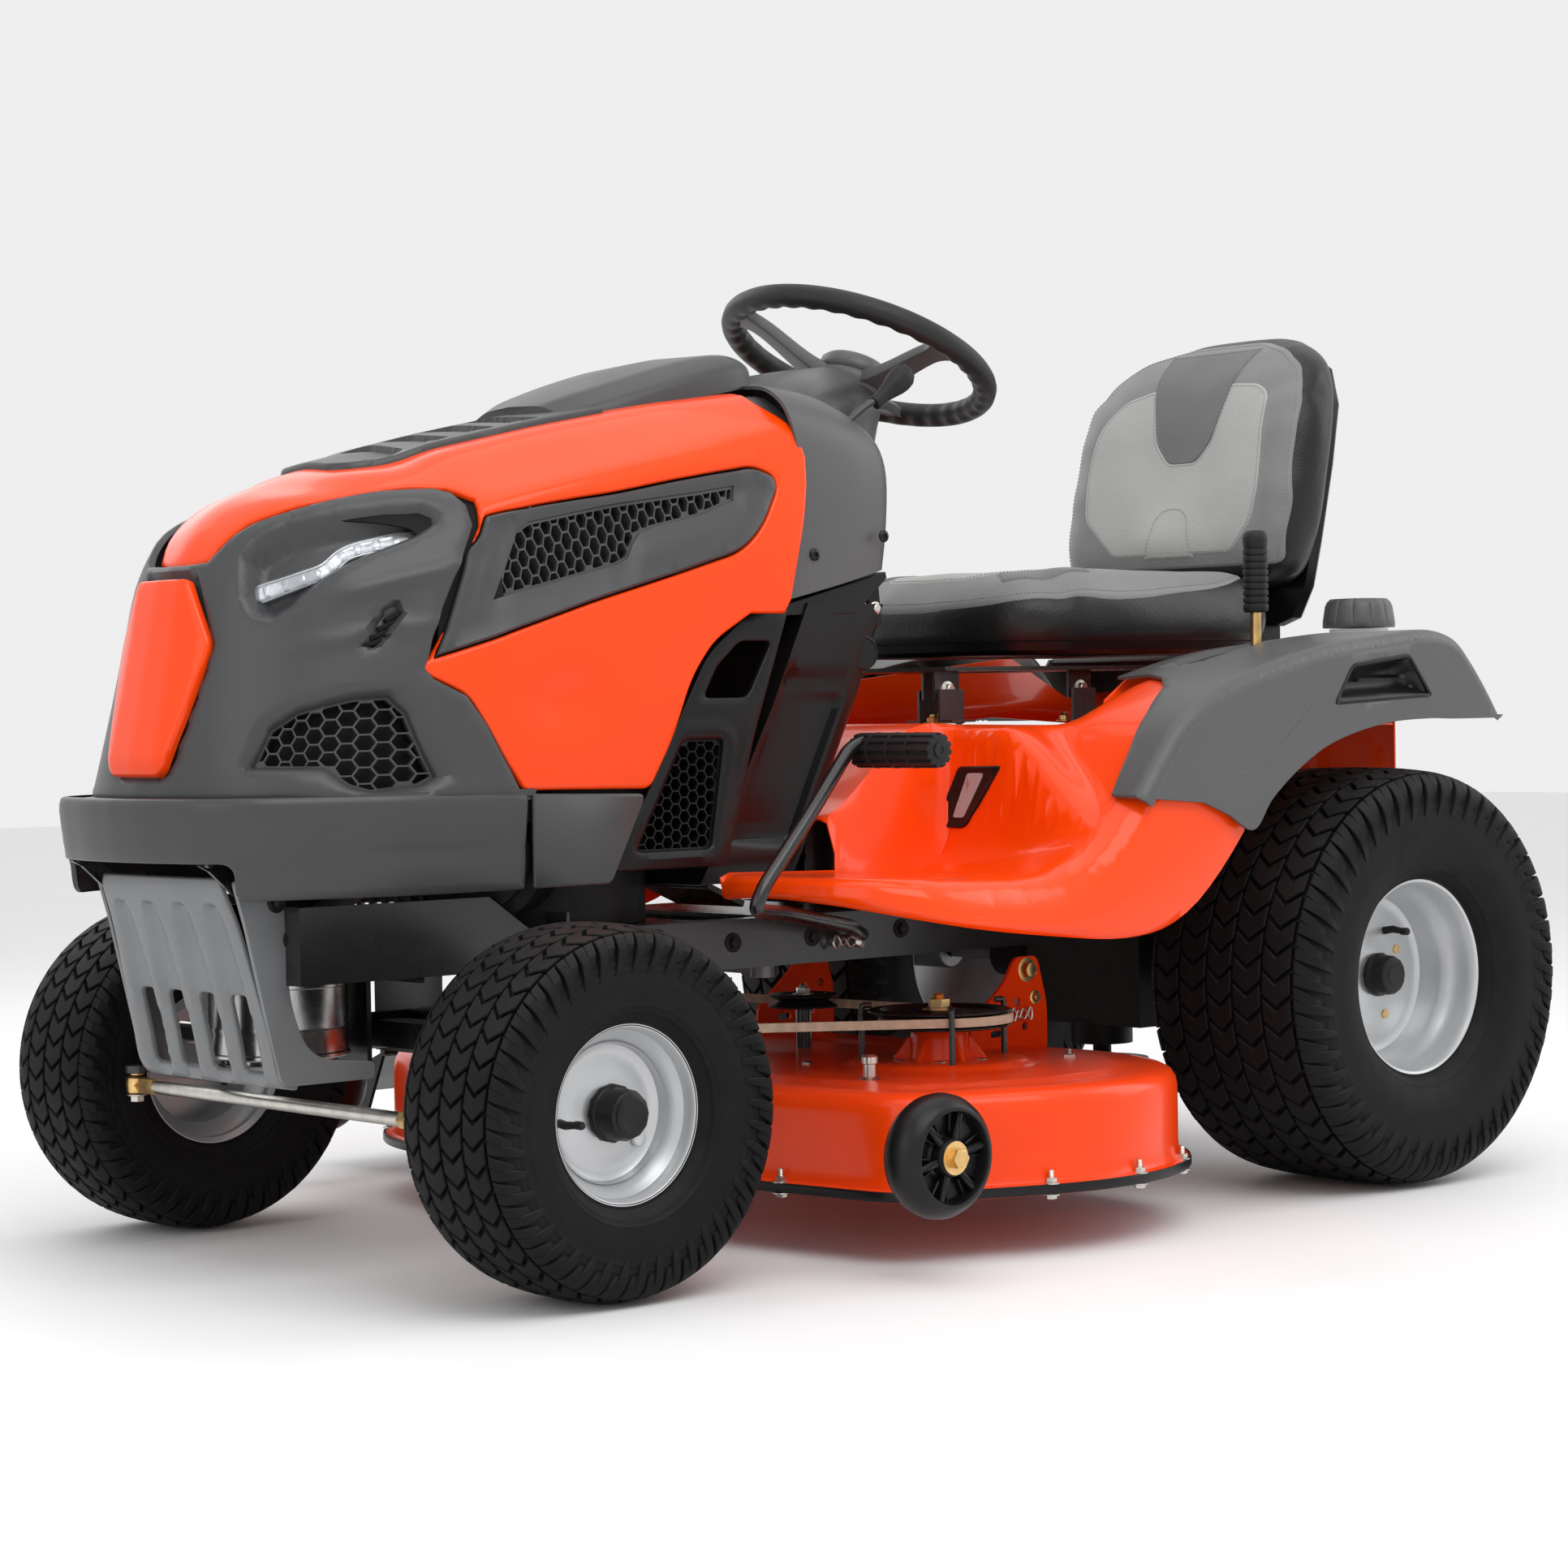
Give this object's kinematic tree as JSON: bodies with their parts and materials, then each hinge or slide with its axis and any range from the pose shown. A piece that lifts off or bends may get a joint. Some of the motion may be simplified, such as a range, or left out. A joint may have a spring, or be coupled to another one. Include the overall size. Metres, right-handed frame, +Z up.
{
  "type": "lawn tractor",
  "caption": "Front-engine ride-on lawn tractor with tilting hood, steered pivoting front axle, sprung seat and a hung two-blade mower deck with lift lever.",
  "frame": {"origin": "on the ground, straight below the middle of the rear axle, in the machine's mid-plane", "axes": "+X forward to the nose, +Y to the operator's left, +Z up"},
  "size_m": [1.831, 1.318, 1.0988],
  "materials": {
    "orange_paint": "glossy orange coat",
    "grey_plastic": "satin dark grey moulding",
    "black_plastic": "fine-grained black moulding",
    "black_steel": "semi-gloss black powder coat",
    "grey_steel": "grey powder coat",
    "zinc": "yellow and clear zinc plate",
    "bright_steel": "aluminised steel",
    "cast_alloy": "cast aluminium",
    "rim_silver": "silver-grey enamel",
    "tyre_rubber": "black tread rubber",
    "seat_grey": "two-tone grey vinyl",
    "seat_black": "black grained vinyl and shell",
    "lamp_clear": "clear polycarbonate",
    "belt_cord": "fabric-covered belt",
    "tank_white": "translucent white moulding",
    "blade_steel": "dark spring steel"
  },
  "bodies": {
    "chassis": {"frame_rails": "black_steel", "hitch_plate": "black_steel", "front_guard": "grey_steel", "muffler": "bright_steel", "engine_block": "cast_alloy", "engine_shroud": "black_plastic", "battery": "black_plastic", "fuel_tank": "tank_white", "dash_cowl": "grey_plastic", "lower_dash": "black_plastic", "engine_side_covers": "black_plastic", "fender_body": "orange_paint", "fender_covers": "grey_plastic", "transaxle": "cast_alloy", "steering_column": "black_steel"},
    "crank": {"crank_pulley": "black_steel"},
    "cap": {"fuel_cap": "grey_plastic"},
    "seat_frame": {"seat_pan": "black_steel"},
    "seat": {"seat_shell": "seat_black", "seat_cushion": "seat_grey", "seat_back": "seat_grey"},
    "steering": {"steering_wheel": "black_plastic"},
    "throttle": {"throttle_lever": "black_plastic"},
    "pto": {"pto_knob": "black_plastic"},
    "key": {"ignition_key": "zinc"},
    "brake": {"brake_pedal": "black_steel"},
    "drive": {"drive_pedals": "black_steel"},
    "lever": {"lift_lever": "zinc"},
    "deck": {"deck_shell": "orange_paint", "deck_trim": "black_plastic", "mandrel_housings": "orange_paint", "deck_belt": "belt_cord", "deck_hangers": "orange_paint"},
    "mandrel_l": {"left_mandrel": "black_steel", "left_blade": "blade_steel"},
    "mandrel_r": {"right_mandrel": "black_steel", "right_blade": "blade_steel"},
    "gauge_l": {"gauge_wheel_left": "black_plastic"},
    "gauge_r": {"gauge_wheel_right": "black_plastic"},
    "chute": {"chute_deflector": "black_plastic"},
    "axle": {"axle_beam": "black_steel"},
    "spindle_l": {"left_spindle": "black_steel"},
    "spindle_r": {"right_spindle": "black_steel"},
    "tie": {"tie_rod": "zinc"},
    "sector": {"steering_sector": "bright_steel"},
    "drag": {"drag_link": "zinc"},
    "hood": {"hood_shell": "orange_paint", "front_fascia": "grey_plastic", "nose_panel": "orange_paint", "headlamps": "lamp_clear", "side_vents": "grey_plastic", "hood_scoop": "grey_plastic"},
    "wheel_fl": {"front_left_tyre": "tyre_rubber", "front_left_rim": "rim_silver"},
    "wheel_fr": {"front_right_tyre": "tyre_rubber", "front_right_rim": "rim_silver"},
    "wheel_rl": {"rear_left_tyre": "tyre_rubber", "rear_left_rim": "rim_silver"},
    "wheel_rr": {"rear_right_tyre": "tyre_rubber", "rear_right_rim": "rim_silver"}
  },
  "joints": [
    {"name": "hood_tilt", "type": "hinge", "parent": "chassis", "child": "hood", "pos_m": [1.488, 0, 0.446], "axis": [0, 1, 0], "range_deg": [0, 60]},
    {"name": "axle_rock", "type": "hinge", "parent": "chassis", "child": "axle", "pos_m": [1.2, 0, 0.25], "axis": [1, 0, 0], "range_deg": [-5, 5]},
    {"name": "left_steer", "type": "hinge", "parent": "axle", "child": "spindle_l", "pos_m": [1.2, 0.278, 0.1905], "axis": [0, 0, 1], "range_deg": [-35, 35]},
    {"name": "right_steer", "type": "hinge", "parent": "axle", "child": "spindle_r", "pos_m": [1.2, -0.278, 0.1905], "axis": [0, 0, 1], "range_deg": [-35.5, 35.5]},
    {"name": "tie_rod_swing", "type": "hinge", "parent": "spindle_l", "child": "tie", "pos_m": [1.33, 0.278, 0.182], "axis": [0, 0, 1], "range_deg": [-35.5, 35.5]},
    {"name": "drag_link_swing", "type": "hinge", "parent": "spindle_l", "child": "drag", "pos_m": [1.2, 0.208, 0.279], "axis": [0, 0, 1], "range_deg": [-35.5, 35.5]},
    {"name": "sector_turn", "type": "hinge", "parent": "chassis", "child": "sector", "pos_m": [0.74, 0.118, 0.29], "axis": [0, 0, 1], "range_deg": [-35.5, 35.5]},
    {"name": "steering_turn", "type": "hinge", "parent": "chassis", "child": "steering", "pos_m": [0.4635, 0, 1.02], "axis": [-0.3987, 0, 0.9171], "range_deg": [-180, 180]},
    {"name": "front_left_roll", "type": "hinge", "parent": "spindle_l", "child": "wheel_fl", "pos_m": [1.2, 0.3805, 0.1905], "axis": [0, 1, 0], "continuous": true},
    {"name": "front_right_roll", "type": "hinge", "parent": "spindle_r", "child": "wheel_fr", "pos_m": [1.2, -0.3805, 0.1905], "axis": [0, 1, 0], "continuous": true},
    {"name": "rear_left_roll", "type": "hinge", "parent": "chassis", "child": "wheel_rl", "pos_m": [0, 0.3824, 0.254], "axis": [0, 1, 0], "continuous": true},
    {"name": "rear_right_roll", "type": "hinge", "parent": "chassis", "child": "wheel_rr", "pos_m": [0, -0.3824, 0.254], "axis": [0, 1, 0], "continuous": true},
    {"name": "seat_tilt", "type": "hinge", "parent": "chassis", "child": "seat_frame", "pos_m": [0.455, 0, 0.618], "axis": [0, 1, 0], "range_deg": [0, 40]},
    {"name": "seat_slide", "type": "slide", "parent": "seat_frame", "child": "seat", "axis": [1, 0, 0], "range_m": [-0.01, 0.06]},
    {"name": "throttle_swing", "type": "hinge", "parent": "chassis", "child": "throttle", "pos_m": [0.668, 0.172, 0.9], "axis": [0, 1, 0], "range_deg": [-10, 30]},
    {"name": "pto_pull", "type": "slide", "parent": "chassis", "child": "pto", "axis": [-1, 0, 0], "range_m": [0, 0.015]},
    {"name": "key_turn", "type": "hinge", "parent": "chassis", "child": "key", "pos_m": [0.584, 0.11, 0.8], "axis": [1, 0, 0], "range_deg": [0, 90]},
    {"name": "brake_press", "type": "hinge", "parent": "chassis", "child": "brake", "pos_m": [0.64, 0.18, 0.33], "axis": [0, 1, 0], "range_deg": [0, 8], "stiffness_Nm_per_rad": 60, "springref_deg": -14.32},
    {"name": "drive_rock", "type": "hinge", "parent": "chassis", "child": "drive", "pos_m": [0.8, -0.2, 0.385], "axis": [0, 1, 0], "range_deg": [-10, 10], "stiffness_Nm_per_rad": 60},
    {"name": "deck_lift", "type": "slide", "parent": "chassis", "child": "deck", "axis": [0, 0, 1], "range_m": [-0.05, 0.01]},
    {"name": "lift_lever_swing", "type": "hinge", "parent": "chassis", "child": "lever", "pos_m": [0.11, 0.2, 0.33], "axis": [0, 1, 0], "range_deg": [-4, 20]},
    {"name": "crank_spin", "type": "hinge", "parent": "chassis", "child": "crank", "pos_m": [0.98, 0, 0.25], "axis": [0, 0, 1], "continuous": true},
    {"name": "left_blade_spin", "type": "hinge", "parent": "deck", "child": "mandrel_l", "pos_m": [0.6, 0.265, 0.15], "axis": [0, 0, 1], "continuous": true},
    {"name": "right_blade_spin", "type": "hinge", "parent": "deck", "child": "mandrel_r", "pos_m": [0.66, -0.262, 0.15], "axis": [0, 0, 1], "continuous": true},
    {"name": "left_gauge_roll", "type": "hinge", "parent": "deck", "child": "gauge_l", "pos_m": [0.892, 0.56, 0.13], "axis": [0, 1, 0], "continuous": true},
    {"name": "right_gauge_roll", "type": "hinge", "parent": "deck", "child": "gauge_r", "pos_m": [0.892, -0.56, 0.13], "axis": [0, 1, 0], "continuous": true},
    {"name": "chute_lift", "type": "hinge", "parent": "deck", "child": "chute", "pos_m": [0.66, -0.552, 0.161], "axis": [1, 0, 0], "range_deg": [-80, 0], "stiffness_Nm_per_rad": 3, "springref_deg": 28.65},
    {"name": "cap_turn", "type": "hinge", "parent": "chassis", "child": "cap", "pos_m": [-0.205, 0.228, 0.684], "axis": [0, 0, 1], "range_deg": [0, 120]}
  ],
  "couplings": [
    {"joint": "right_steer", "follows": "left_steer", "ratio": 1},
    {"joint": "tie_rod_swing", "follows": "left_steer", "ratio": -1},
    {"joint": "drag_link_swing", "follows": "left_steer", "ratio": -1},
    {"joint": "sector_turn", "follows": "left_steer", "ratio": 1},
    {"joint": "steering_turn", "follows": "left_steer", "ratio": 5},
    {"joint": "lift_lever_swing", "follows": "deck_lift", "rad_per_m": -6.3},
    {"joint": "left_blade_spin", "follows": "crank_spin", "ratio": 0.8},
    {"joint": "right_blade_spin", "follows": "crank_spin", "ratio": 0.8}
  ]
}
